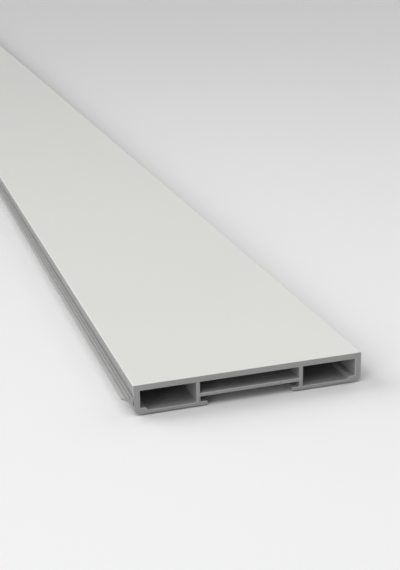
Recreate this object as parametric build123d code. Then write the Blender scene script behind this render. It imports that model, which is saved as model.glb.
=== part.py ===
from build123d import *
import os

# A hollow skirting board of grey rigid PVC, extruded in one piece, with an off-white film on its
# face and a soft sealing lip bonded along one long edge. It lies face up, on its back.
# X runs across the width, Y along the length and Z up. The origin is on the back plane, in the
# middle of the clip channel's mouth and of the length. All sizes are in millimetres.

# Overall sizes of the stock
stock_length = 2000.0
board_width = 100.0
board_thickness = 13.0

# Walls of the extrusion
face_wall = 2.5
side_wall = 2.7
back_wall = 1.5
web_wall = 1.5
channel_wall = 1.45

# Clip channel, open along the back between the two webs
web_spacing = 45.3
channel_room = 2.45
clip_lip_reach = 3.25
clip_lip_round = 0.7

# Edges and inner corners of the board, and the gusset in each of the two back corners
face_edge_round = 0.35
back_edge_round = 2.4
inner_corner_round = 0.25
gusset_height = 1.2
gusset_shelf = 2.2
gusset_slope = 1.2

# Sealing lip: a stem bonded to the side wall just above the back edge's round, with a bead that
# leans against the wall over a hollow, and a flap that leans out. Its heights are above the foot
# of the bond.
lip_bond_margin = 0.45
lip_bond = 1.5
lip_hollow = 0.35
lip_bead_gap = 0.2
lip_bead_depth = 0.65
lip_bead_round = 0.35
lip_bead_width = 1.35
lip_crown_height = 5.35
lip_knee_reach = 2.15
lip_knee_height = 3.5
lip_knee_round = 0.3
lip_stem_bulge = 0.15
lip_reach = 5.2
lip_tip_rise = 0.15
lip_tip_thickness = 0.5
lip_groove_radius = 0.3
lip_groove_depth = 0.5
lip_groove_spacing = 1.33
lip_grooves = 2


def rectangle(left, right, low, high):
    """Rectangle of the section between two places across the width and two heights."""
    return Pos((left + right) / 2, (low + high) / 2) * Rectangle(right - left, high - low)


def board_section():
    """Section of the rigid extrusion, with its face wall at the top."""
    half_width = board_width / 2
    ceiling = board_thickness - face_wall
    web_inner = web_spacing / 2 - web_wall / 2
    web_outer = web_spacing / 2 + web_wall / 2
    channel_top = back_wall + channel_room
    half_mouth = web_inner - clip_lip_reach

    outline = rectangle(-half_width, half_width, 0, board_thickness)
    outline = fillet(outline.vertices().group_by(Axis.Y)[-1], face_edge_round)
    outline = fillet(outline.vertices().group_by(Axis.Y)[0], back_edge_round)

    # Chamber between a web and a side wall, with the gusset in its outer back corner
    side_inner = half_width - side_wall
    gusset_top = back_wall + gusset_height
    shelf_edge = side_inner - gusset_shelf
    side_chamber = make_face(Polyline(
        (web_outer, back_wall),
        (shelf_edge - gusset_slope, back_wall),
        (shelf_edge, gusset_top),
        (side_inner, gusset_top),
        (side_inner, ceiling),
        (web_outer, ceiling),
        close=True,
    ))
    side_chamber = fillet(side_chamber.vertices(), inner_corner_round)
    middle_chamber = rectangle(-web_inner, web_inner, channel_top + channel_wall, ceiling)
    middle_chamber = fillet(middle_chamber.vertices(), inner_corner_round)

    # Clip channel: its undercut between the webs, and its mouth between the two clip lips
    undercut = rectangle(-web_inner, web_inner, back_wall, channel_top)
    undercut = fillet(undercut.vertices(), inner_corner_round)
    channel = undercut + rectangle(-half_mouth, half_mouth, 0, back_wall)

    section = outline - side_chamber - mirror(side_chamber, Plane.YZ) - middle_chamber - channel
    lip_corners = [
        corner for corner in section.vertices()
        if abs(abs(corner.X) - half_mouth) < 0.01 and corner.Y < channel_top
    ]
    return fillet(lip_corners, min(clip_lip_round, 0.45 * back_wall))


def lip_section():
    """Section of the soft lip, drawn out from the side wall along X and up from its bond."""
    tip_height = lip_crown_height + lip_tip_rise
    foot = (0, 0)
    knee = (lip_knee_reach, lip_knee_height)
    bead = (lip_bead_gap, lip_crown_height)
    stem_side = SagittaArc(foot, knee, -lip_stem_bulge)
    rest = Polyline(
        knee,
        (lip_reach, tip_height - lip_tip_thickness),
        (lip_reach, tip_height),
        bead,
        (lip_bead_gap, lip_crown_height - lip_bead_depth),
        (lip_hollow, lip_bond + lip_hollow),
        (0, lip_bond),
        foot,
    )
    outline = make_face([stem_side, rest])
    tip_corners = outline.vertices().sort_by(Axis.X)[-2:]
    outline = fillet(tip_corners, 0.45 * lip_tip_thickness)
    for corner, corner_round in ((bead, lip_bead_round), (knee, lip_knee_round)):
        outline = fillet(outline.vertices().sort_by_distance(corner)[0], corner_round)

    # Grooves along the crown, between the bead and the flap, each with a round bottom
    crown_slope = lip_tip_rise / (lip_reach - lip_bead_gap)
    for number in range(lip_grooves):
        from_bead = lip_bead_width + number * lip_groove_spacing
        middle = lip_bead_gap + from_bead
        crown = lip_crown_height + crown_slope * from_bead
        round_middle = crown - lip_groove_depth + lip_groove_radius
        left = middle - lip_groove_radius
        right = middle + lip_groove_radius
        outline -= Pos(middle, round_middle) * Circle(lip_groove_radius)
        outline -= rectangle(left, right, round_middle, crown + lip_groove_depth)
    return outline


def along_length(section):
    """Solid of the whole length, from a section drawn across the width."""
    return extrude(Plane.XZ * section, amount=stock_length / 2, both=True)


board = along_length(board_section())
lip_foot = Pos(-board_width / 2, back_edge_round + lip_bond_margin)
sealing_lip = along_length(lip_foot * mirror(lip_section(), Plane.YZ))

os.makedirs("parts", exist_ok=True)
export_step(board, "parts/board.step")
export_step(sealing_lip, "parts/sealing_lip.step")
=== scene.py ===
import math

import bpy
from mathutils import Matrix, Vector


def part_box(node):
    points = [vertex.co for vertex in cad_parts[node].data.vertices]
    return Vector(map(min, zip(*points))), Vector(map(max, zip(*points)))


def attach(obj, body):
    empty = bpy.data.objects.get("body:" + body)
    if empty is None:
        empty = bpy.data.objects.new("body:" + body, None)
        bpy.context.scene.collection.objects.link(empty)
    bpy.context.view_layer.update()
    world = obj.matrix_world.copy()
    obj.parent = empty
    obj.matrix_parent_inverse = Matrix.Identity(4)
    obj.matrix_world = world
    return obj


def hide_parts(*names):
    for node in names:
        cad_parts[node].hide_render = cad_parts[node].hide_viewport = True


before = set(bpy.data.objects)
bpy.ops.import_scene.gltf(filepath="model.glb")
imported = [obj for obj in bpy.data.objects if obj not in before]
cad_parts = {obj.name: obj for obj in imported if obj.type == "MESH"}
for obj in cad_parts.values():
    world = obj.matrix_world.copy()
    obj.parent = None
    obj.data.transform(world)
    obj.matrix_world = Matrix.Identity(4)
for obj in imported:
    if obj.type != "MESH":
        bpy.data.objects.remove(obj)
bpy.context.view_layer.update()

# Board: a hollow skirting board of rigid PVC, drawn through a die in one piece and sawn to length.
# An off-white film covers its face and turns over the two long edges of the face. The sides, the
# sawn ends, the chambers and the back show the plain grey PVC. It lies face up, on its back.
board_low, board_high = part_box("board")
board_width = board_high.x - board_low.x
board_thickness = board_high.z - board_low.z
stock_length = board_high.y - board_low.y
half_width = board_width / 2
face_wall = 0.0025
side_wall = 0.0027
back_wall = 0.0015
web_wall = 0.0015
channel_wall = 0.00145
web_spacing = 0.0453
channel_room = 0.00245
clip_lip_reach = 0.00325
clip_lip_round = 0.0007
face_edge_round = 0.00035
back_edge_round = 0.0024
gusset_height = 0.0012
gusset_shelf = 0.0022
gusset_slope = 0.0012
inner_corner_round = 0.00025
saw_edge_break = 0.00012
arc_steps = 10
weld_distance = 1e-6
end_margin = 1e-5
sharp_fold = 1.0


def add(tree, kind, inputs=(), **settings):
    """Adds a node to a tree, with its settings, and with a link or a value on each input named."""
    made = tree.nodes.new(kind)
    for name, value in settings.items():
        setattr(made, name, value)
    for socket, value in dict(inputs).items():
        if isinstance(value, bpy.types.NodeSocket):
            tree.links.new(value, made.inputs[socket])
        else:
            made.inputs[socket].default_value = value
    return made


def die_tree():
    """Tree that rounds a section's corners, fills it, draws it out along Y and marks its sawn edges."""
    tree = bpy.data.node_groups.new("drawn_through_the_die", "GeometryNodeTree")
    inputs = (
        ("Section", "NodeSocketGeometry"),
        ("Length", "NodeSocketFloat"),
        ("Arc Steps", "NodeSocketInt"),
        ("Material", "NodeSocketMaterial"),
    )
    for name, kind in inputs:
        tree.interface.new_socket(name, in_out="INPUT", socket_type=kind)
    tree.interface.new_socket("Piece", in_out="OUTPUT", socket_type="NodeSocketGeometry")
    given = tree.nodes.new("NodeGroupInput").outputs

    rounds = add(tree, "GeometryNodeInputNamedAttribute", {"Name": "corner_round"}, data_type="FLOAT")
    outline = add(tree, "GeometryNodeMeshToCurve", {"Mesh": given["Section"]})
    rounded = add(tree, "GeometryNodeFilletCurve", {
        "Curve": outline.outputs["Curve"],
        "Count": given["Arc Steps"],
        "Radius": rounds.outputs["Attribute"],
    }, mode="POLY")
    filled = add(tree, "GeometryNodeFillCurve", {"Curve": rounded.outputs["Curve"]}, mode="NGONS")
    draw = add(tree, "ShaderNodeCombineXYZ", {"Z": given["Length"]})
    drawn = add(tree, "GeometryNodeExtrudeMesh", {
        "Mesh": filled.outputs["Mesh"],
        "Offset": draw.outputs["Vector"],
        "Offset Scale": 1.0,
        "Individual": False,
    }, mode="FACES")
    first_end = add(tree, "GeometryNodeFlipFaces", {"Mesh": filled.outputs["Mesh"]})
    joined = tree.nodes.new("GeometryNodeJoinGeometry")
    for part in (drawn.outputs["Mesh"], first_end.outputs["Mesh"]):
        tree.links.new(part, joined.inputs["Geometry"])
    merged = add(tree, "GeometryNodeMergeByDistance", {
        "Geometry": joined.outputs["Geometry"],
        "Distance": weld_distance,
    })
    half_length = add(tree, "ShaderNodeMath", {0: given["Length"], 1: 0.5}, operation="MULTIPLY")
    middle = add(tree, "ShaderNodeCombineXYZ", {"Y": half_length.outputs["Value"]})
    laid = add(tree, "GeometryNodeTransform", {
        "Geometry": merged.outputs["Geometry"],
        "Translation": middle.outputs["Vector"],
        "Rotation": (math.pi / 2, 0, 0),
    })

    position = tree.nodes.new("GeometryNodeInputPosition")
    place = add(tree, "ShaderNodeSeparateXYZ", {"Vector": position.outputs["Position"]})
    along = add(tree, "ShaderNodeMath", {0: place.outputs["Y"]}, operation="ABSOLUTE")
    past = add(tree, "ShaderNodeMath", {
        0: half_length.outputs["Value"],
        1: end_margin,
    }, operation="SUBTRACT")
    at_end = add(tree, "ShaderNodeMath", {0: along.outputs[0], 1: past.outputs[0]}, operation="GREATER_THAN")
    fold = tree.nodes.new("GeometryNodeInputMeshEdgeAngle")
    folded = add(tree, "ShaderNodeMath", {
        0: fold.outputs["Unsigned Angle"],
        1: sharp_fold,
    }, operation="GREATER_THAN")
    sawn = add(tree, "ShaderNodeMath", {0: at_end.outputs[0], 1: folded.outputs[0]}, operation="MULTIPLY")
    marked = add(tree, "GeometryNodeStoreNamedAttribute", {
        "Geometry": laid.outputs["Geometry"],
        "Name": "bevel_weight_edge",
        "Value": sawn.outputs[0],
    }, data_type="FLOAT", domain="EDGE")
    real = add(tree, "GeometryNodeRealizeInstances", {"Geometry": marked.outputs["Geometry"]})
    clad = add(tree, "GeometryNodeSetMaterial", {
        "Geometry": real.outputs["Geometry"],
        "Material": given["Material"],
    })
    result = tree.nodes.new("NodeGroupOutput")
    tree.links.new(clad.outputs["Geometry"], result.inputs["Piece"])
    return tree


def drawn_piece(name, outlines, tree, material, edge_break):
    """Piece drawn from outlines, each a list of corners (across, up, round), as a plain mesh."""
    corners = []
    edges = []
    for outline in outlines:
        first = len(corners)
        count = len(outline)
        corners += outline
        edges += [(first + i, first + (i + 1) % count) for i in range(count)]
    section = bpy.data.meshes.new(name + "_section")
    section.from_pydata([(across, up, 0) for across, up, _ in corners], edges, [])
    rounds = section.attributes.new("corner_round", "FLOAT", "POINT")
    rounds.data.foreach_set("value", [corner_round for _, _, corner_round in corners])
    piece = bpy.data.objects.new(name, section)
    bpy.context.scene.collection.objects.link(piece)

    die = piece.modifiers.new("die", "NODES")
    die.node_group = tree
    settings = {"Length": stock_length, "Arc Steps": arc_steps, "Material": material}
    for socket in tree.interface.items_tree:
        if socket.name in settings:
            die[socket.identifier] = settings[socket.name]
    saw = piece.modifiers.new("saw", "BEVEL")
    saw.limit_method = "WEIGHT"
    saw.width = edge_break
    saw.segments = 2
    flats = piece.modifiers.new("flats", "WEIGHTED_NORMAL")
    flats.mode = "FACE_AREA"
    flats.weight = 100
    evaluated = piece.evaluated_get(bpy.context.evaluated_depsgraph_get())
    mesh = bpy.data.meshes.new_from_object(evaluated)
    mesh.name = name
    mesh.materials.pop(index=0)
    piece.modifiers.clear()
    piece.data = mesh
    bpy.data.meshes.remove(section)
    return piece


def board_outlines():
    """Corners of the board's outer outline and of its three chambers, the clip channel included."""
    ceiling = board_thickness - face_wall
    web_inner = web_spacing / 2 - web_wall / 2
    web_outer = web_spacing / 2 + web_wall / 2
    channel_top = back_wall + channel_room
    half_mouth = web_inner - clip_lip_reach
    side_inner = half_width - side_wall
    shelf_edge = side_inner - gusset_shelf
    gusset_top = back_wall + gusset_height

    right_half = [
        (half_mouth, 0, clip_lip_round),
        (half_width, 0, back_edge_round),
        (half_width, board_thickness, face_edge_round),
    ]
    channel_right = [
        (web_inner, channel_top, inner_corner_round),
        (web_inner, back_wall, inner_corner_round),
        (half_mouth, back_wall, clip_lip_round),
    ]
    outer_right = channel_right + right_half
    outer = outer_right + [(-across, up, corner) for across, up, corner in reversed(outer_right)]
    chamber = [
        (web_outer, back_wall, inner_corner_round),
        (shelf_edge - gusset_slope, back_wall, inner_corner_round),
        (shelf_edge, gusset_top, inner_corner_round),
        (side_inner, gusset_top, inner_corner_round),
        (side_inner, ceiling, inner_corner_round),
        (web_outer, ceiling, inner_corner_round),
    ]
    middle = [
        (-web_inner, channel_top + channel_wall, inner_corner_round),
        (web_inner, channel_top + channel_wall, inner_corner_round),
        (web_inner, ceiling, inner_corner_round),
        (-web_inner, ceiling, inner_corner_round),
    ]
    return [outer, chamber, [(-across, up, corner) for across, up, corner in chamber], middle]


def new_material(name):
    """Material with its own node tree, its shader and its object coordinates."""
    material = bpy.data.materials.new(name)
    material.use_nodes = True
    tree = material.node_tree
    shader = tree.nodes["Principled BSDF"]
    coordinates = tree.nodes.new("ShaderNodeTexCoord").outputs["Object"]
    return material, tree, shader, coordinates


def film_material():
    """Off-white film on the face: satin, with a faint grain and lines drawn lengthwise."""
    material, tree, shader, coordinates = new_material("off_white_film")
    lengthwise = add(tree, "ShaderNodeMapping", {"Vector": coordinates, "Scale": (900, 3, 900)})
    lines = add(tree, "ShaderNodeTexNoise", {"Vector": lengthwise.outputs[0], "Scale": 1.0, "Detail": 3.0})
    grain = add(tree, "ShaderNodeTexNoise", {"Vector": coordinates, "Scale": 1800.0, "Detail": 2.0})
    cloud = add(tree, "ShaderNodeTexNoise", {"Vector": coordinates, "Scale": 14.0, "Detail": 2.0})
    tone = add(tree, "ShaderNodeMix", {
        "Factor": cloud.outputs["Fac"],
        "A": (0.728, 0.736, 0.698, 1),
        "B": (0.749, 0.757, 0.721, 1),
    }, data_type="RGBA")
    tree.links.new(tone.outputs["Result"], shader.inputs["Base Color"])
    gloss = add(tree, "ShaderNodeMapRange", {"Value": grain.outputs["Fac"], "To Min": 0.42, "To Max": 0.52})
    tree.links.new(gloss.outputs["Result"], shader.inputs["Roughness"])
    ripple = add(tree, "ShaderNodeBump", {
        "Height": lines.outputs["Fac"],
        "Strength": 0.08,
        "Distance": 0.00005,
    })
    skin = add(tree, "ShaderNodeBump", {
        "Height": grain.outputs["Fac"],
        "Strength": 0.1,
        "Distance": 0.00003,
        "Normal": ripple.outputs["Normal"],
    })
    tree.links.new(skin.outputs["Normal"], shader.inputs["Normal"])
    shader.inputs["Specular IOR Level"].default_value = 0.35
    return material


def drawn_material(name, dark, light):
    """Plain grey PVC as it leaves the die, with fine lines drawn lengthwise."""
    material, tree, shader, coordinates = new_material(name)
    lengthwise = add(tree, "ShaderNodeMapping", {"Vector": coordinates, "Scale": (1400, 4, 1400)})
    lines = add(tree, "ShaderNodeTexNoise", {"Vector": lengthwise.outputs[0], "Scale": 1.0, "Detail": 4.0})
    tone = add(tree, "ShaderNodeMix", {
        "Factor": lines.outputs["Fac"],
        "A": (dark, dark, dark, 1),
        "B": (light, light, light, 1),
    }, data_type="RGBA")
    tree.links.new(tone.outputs["Result"], shader.inputs["Base Color"])
    ripple = add(tree, "ShaderNodeBump", {
        "Height": lines.outputs["Fac"],
        "Strength": 0.2,
        "Distance": 0.00006,
    })
    tree.links.new(ripple.outputs["Normal"], shader.inputs["Normal"])
    shader.inputs["Roughness"].default_value = 0.5
    shader.inputs["Specular IOR Level"].default_value = 0.35
    return material


def sawn_material(name, dark, light):
    """PVC as the saw leaves it: matt, with the shallow curved marks of the blade's teeth."""
    material, tree, shader, coordinates = new_material(name)
    blade = add(tree, "ShaderNodeMapping", {
        "Vector": coordinates,
        "Location": (0.03, 0, -0.12),
        "Scale": (1, 0, 1),
    })
    marks = add(tree, "ShaderNodeTexWave", {
        "Vector": blade.outputs[0],
        "Scale": 420.0,
        "Distortion": 2.0,
        "Detail": 2.0,
        "Detail Scale": 3.0,
    }, wave_type="RINGS", rings_direction="SPHERICAL")
    grain = add(tree, "ShaderNodeTexNoise", {"Vector": coordinates, "Scale": 2600.0, "Detail": 3.0})
    tone = add(tree, "ShaderNodeMix", {
        "Factor": grain.outputs["Fac"],
        "A": (dark, dark, dark, 1),
        "B": (light, light, light, 1),
    }, data_type="RGBA")
    tree.links.new(tone.outputs["Result"], shader.inputs["Base Color"])
    cut = add(tree, "ShaderNodeBump", {
        "Height": marks.outputs["Fac"],
        "Strength": 0.12,
        "Distance": 0.00006,
    })
    rough = add(tree, "ShaderNodeBump", {
        "Height": grain.outputs["Fac"],
        "Strength": 0.15,
        "Distance": 0.00004,
        "Normal": cut.outputs["Normal"],
    })
    tree.links.new(rough.outputs["Normal"], shader.inputs["Normal"])
    shader.inputs["Roughness"].default_value = 0.65
    shader.inputs["Specular IOR Level"].default_value = 0.3
    return material


extrusion = die_tree()
grey_outside = drawn_material("grey_outside", 0.33, 0.365)
board = drawn_piece("hollow_board", board_outlines(), extrusion, grey_outside, saw_edge_break)
board.data.materials.append(drawn_material("grey_chambers", 0.32, 0.355))
board.data.materials.append(film_material())
board.data.materials.append(sawn_material("sawn_end", 0.35, 0.405))
# A much paler grey on the narrow breaks round the sawn end's edges paints a highlight along them.
board.data.materials.append(sawn_material("painted_highlight_rim", 0.6, 0.7))
outside_slot, chamber_slot, film_slot, sawn_slot, highlight_rim_slot = range(5)
sawn_flat = 0.98
sawn_rim = 0.3
film_turn = math.cos(math.radians(60))
for face in board.data.polygons:
    in_walls = abs(face.center.x) < half_width - side_wall / 2 and face.center.z > back_wall / 2
    at_face = face.center.z > board_thickness - face_edge_round
    cut = abs(face.normal.y)
    if cut > sawn_flat or cut > sawn_rim and at_face:
        face.material_index = sawn_slot
    elif at_face and face.normal.z > film_turn:
        face.material_index = film_slot
    # The breaks round the sawn end's edges, except those of the face and the back, take the paler grey: a
    # painted highlight.
    elif cut > sawn_rim and face.center.z > back_wall / 2:
        face.material_index = highlight_rim_slot
    elif in_walls:
        face.material_index = chamber_slot
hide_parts("board")
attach(board, "root")

# Sealing lip: soft grey PVC, drawn through the same die and bonded along one side wall. A stem
# rises from the bond, with a hollow behind it, and carries a bead by the wall, two grooves and a
# flap that thins towards its edge, where light comes through it. Its grey is painted in bands
# across the lip: painted shade by the wall, painted light on the thin flap.
lip_low, lip_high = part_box("sealing_lip")
lip_reach = lip_high.x - lip_low.x
lip_foot = lip_low.z
lip_bond = 0.0015
lip_hollow = 0.00035
lip_bead_gap = 0.00008
lip_bead_depth = 0.00065
lip_bead_round = 0.00035
lip_bead_width = 0.00135
lip_crown_height = 0.00535
lip_knee_reach = 0.00215
lip_knee_height = 0.0035
lip_knee_round = 0.0003
lip_stem_bulge = 0.00015
lip_stem_round = 0.001
lip_tip_rise = 0.00015
lip_tip_thickness = 0.0005
lip_tip_round = 0.45 * lip_tip_thickness
lip_groove_radius = 0.0003
lip_groove_depth = 0.0005
lip_groove_spacing = 0.00133
lip_grooves = 2
groove_steps = 8


def lip_outline():
    """Corners of the lip's section, drawn out from the side wall and up from the foot of its bond."""
    tip_height = lip_crown_height + lip_tip_rise
    crown_slope = lip_tip_rise / (lip_reach - lip_bead_gap)
    stem_length = math.hypot(lip_knee_reach, lip_knee_height)
    bulge_across = lip_knee_height / stem_length * lip_stem_bulge
    bulge_up = -lip_knee_reach / stem_length * lip_stem_bulge
    corners = [(0, 0, 0)]
    for share in (0.25, 0.5, 0.75):
        swell = 4 * share * (1 - share)
        across = lip_knee_reach * share + bulge_across * swell
        up = lip_knee_height * share + bulge_up * swell
        corners.append((across, up, lip_stem_round))
    corners += [
        (lip_knee_reach, lip_knee_height, lip_knee_round),
        (lip_reach, tip_height - lip_tip_thickness, lip_tip_round),
        (lip_reach, tip_height, lip_tip_round),
    ]
    for number in reversed(range(lip_grooves)):
        from_bead = lip_bead_width + number * lip_groove_spacing
        middle = lip_bead_gap + from_bead
        crown = lip_crown_height + crown_slope * from_bead
        round_middle = crown - lip_groove_depth + lip_groove_radius
        edge_rise = crown_slope * lip_groove_radius
        corners.append((middle + lip_groove_radius, crown + edge_rise, 0))
        for step in range(groove_steps + 1):
            turn = math.pi * step / groove_steps
            across = middle + lip_groove_radius * math.cos(turn)
            corners.append((across, round_middle - lip_groove_radius * math.sin(turn), 0))
        corners.append((middle - lip_groove_radius, crown - edge_rise, 0))
    corners += [
        (lip_bead_gap, lip_crown_height, lip_bead_round),
        (lip_bead_gap, lip_crown_height - lip_bead_depth, 0),
        (lip_hollow, lip_bond + lip_hollow, 0),
        (0, lip_bond, 0),
    ]
    return [(-half_width - across, lip_foot + up, corner) for across, up, corner in corners]


def lip_material():
    """Soft grey PVC, a little clear, painted in bands across the lip: painted shade darkest by the wall and
    in a band before the flap, painted light palest on the thin flap, and darker again at its edge.
    """
    material, tree, shader, coordinates = new_material("soft_grey_lip")
    place = add(tree, "ShaderNodeSeparateXYZ", {"Vector": coordinates})
    across = add(tree, "ShaderNodeMapRange", {
        "Value": place.outputs["X"],
        "From Min": -half_width,
        "From Max": -half_width - lip_reach,
    })
    # The ramp's greys paint the lip's light and shade: painted shade by the wall and before the flap,
    # painted light on the thin flap.
    tone = add(tree, "ShaderNodeValToRGB", {"Fac": across.outputs["Result"]})
    stops = tone.color_ramp.elements
    warmth = 0.98
    for where, grey in ((0.18, 0.31), (0.42, 0.38), (0.63, 0.35), (0.84, 0.465), (0.97, 0.37)):
        stop = stops.new(where)
        stop.color = (grey, grey, grey * warmth, 1)
    stops.remove(stops[-1])
    stops.remove(stops[0])
    tree.links.new(tone.outputs["Color"], shader.inputs["Base Color"])
    lengthwise = add(tree, "ShaderNodeMapping", {"Vector": coordinates, "Scale": (2000, 8, 2000)})
    lines = add(tree, "ShaderNodeTexNoise", {"Vector": lengthwise.outputs[0], "Scale": 1.0, "Detail": 3.0})
    ripple = add(tree, "ShaderNodeBump", {
        "Height": lines.outputs["Fac"],
        "Strength": 0.2,
        "Distance": 0.00005,
    })
    tree.links.new(ripple.outputs["Normal"], shader.inputs["Normal"])
    shader.inputs["Roughness"].default_value = 0.45
    shader.inputs["Specular IOR Level"].default_value = 0.4
    shader.inputs["Subsurface Weight"].default_value = 0.25
    shader.inputs["Subsurface Radius"].default_value = (1, 1, 1)
    shader.inputs["Subsurface Scale"].default_value = 0.0004
    return material


lip = drawn_piece("soft_lip", [lip_outline()], extrusion, lip_material(), saw_edge_break / 2)
lip.data.materials.append(sawn_material("sawn_lip", 0.42, 0.48))
sawn_lip_slot = 1
for face in lip.data.polygons:
    if abs(face.normal.y) > sawn_rim:
        face.material_index = sawn_lip_slot
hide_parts("sealing_lip")
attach(lip, "root")

# Floor: a plain pale studio floor. A length of plastic never lies dead flat, so a hair of air stays
# under its back and shows as a dark line.
floor_size = 24.0
floor_gap = 0.00055
floor_mesh = bpy.data.meshes.new("floor")
floor_edge = floor_size / 2
floor_mesh.from_pydata(
    [(x * floor_edge, y * floor_edge, -floor_gap) for x, y in ((-1, -1), (1, -1), (1, 1), (-1, 1))],
    [],
    [(0, 1, 2, 3)],
)
floor = bpy.data.objects.new("floor", floor_mesh)
bpy.context.scene.collection.objects.link(floor)
floor_paint, _, floor_shader, _ = new_material("pale_floor")
floor_shader.inputs["Base Color"].default_value = (0.92, 0.92, 0.92, 1)
floor_shader.inputs["Roughness"].default_value = 0.8
floor_shader.inputs["Specular IOR Level"].default_value = 0.1
floor_mesh.materials.append(floor_paint)

# Light: a plain even studio. Three wide lights from far away light the board and the floor alike
# along their whole length, one wide soft box high over the near end makes it a little brighter
# there, and a faint dome fills the shadows.
def far_light(name, turn, height, wide, strength):
    """Wide light from far away, by its turn from +X, its height and its width, all in degrees."""
    light = bpy.data.lights.new(name, "SUN")
    light.angle = math.radians(wide)
    light.energy = strength
    lamp = bpy.data.objects.new(name, light)
    source = Matrix.Rotation(math.radians(turn), 3, "Z") @ Matrix.Rotation(math.radians(-height), 3, "Y")
    lamp.rotation_euler = (source @ Vector((-1, 0, 0))).to_track_quat("-Z", "Y").to_euler()
    bpy.context.scene.collection.objects.link(lamp)


def softbox(name, place, aim, size, energy):
    """Square soft box at a place, turned to the point it lights, that the camera doesn't see."""
    light = bpy.data.lights.new(name, "AREA")
    light.size = size
    light.energy = energy
    lamp = bpy.data.objects.new(name, light)
    lamp.location = place
    lamp.rotation_euler = (aim - lamp.location).to_track_quat("-Z", "Y").to_euler()
    lamp.visible_camera = False
    bpy.context.scene.collection.objects.link(lamp)


far_light("far_lip_side", 138, 30, 50, 1.79)
far_light("far_plain_side", 30, 35, 60, 0.7)
far_light("far_front", 217, 19, 34, 0.62)
near_face = Vector((0.0, -0.95, board_thickness))
softbox("high_near", (-0.3, -1.25, 0.95), near_face, 0.85, 5.15)

dome_level = 0.08
backdrop_level = 0.85
world = bpy.data.worlds.new("studio")
world.use_nodes = True
bpy.context.scene.world = world
sky = world.node_tree
ray = sky.nodes.new("ShaderNodeLightPath")
seen = ray.outputs["Is Camera Ray"]
for kind in ("Is Glossy Ray", "Is Transmission Ray"):
    either = add(sky, "ShaderNodeMath", {0: seen, 1: ray.outputs[kind]}, operation="MAXIMUM")
    seen = either.outputs["Value"]
level = add(sky, "ShaderNodeMapRange", {
    "Value": seen,
    "To Min": dome_level,
    "To Max": backdrop_level,
})
sky.links.new(level.outputs["Result"], sky.nodes["Background"].inputs["Strength"])
sky.nodes["Background"].inputs["Color"].default_value = (1, 1, 1, 1)

# Camera: close to the near end, a little to the lip's side, looking down along the board. It is
# a long lens with no blur, and the picture's height sets its scale.
focal_pixels = 1157.1
image_height = 570
heading = math.radians(-16.905)
pitch = math.radians(19.276)
roll = math.radians(-1.440)
lens = bpy.data.cameras.new("camera")
lens.sensor_fit = "VERTICAL"
lens.sensor_height = 36.0
lens.lens = focal_pixels / image_height * lens.sensor_height
lens.clip_start = 0.01
camera = bpy.data.objects.new("camera", lens)
camera.location = (-0.1468, -1.4145, 0.2038)
aim = Matrix.Rotation(heading, 3, "Z") @ Matrix.Rotation(math.pi / 2 - pitch, 3, "X")
camera.rotation_euler = (aim @ Matrix.Rotation(roll, 3, "Z")).to_euler()
bpy.context.scene.collection.objects.link(camera)
bpy.context.scene.camera = camera

bpy.context.scene.view_settings.view_transform = "Standard"
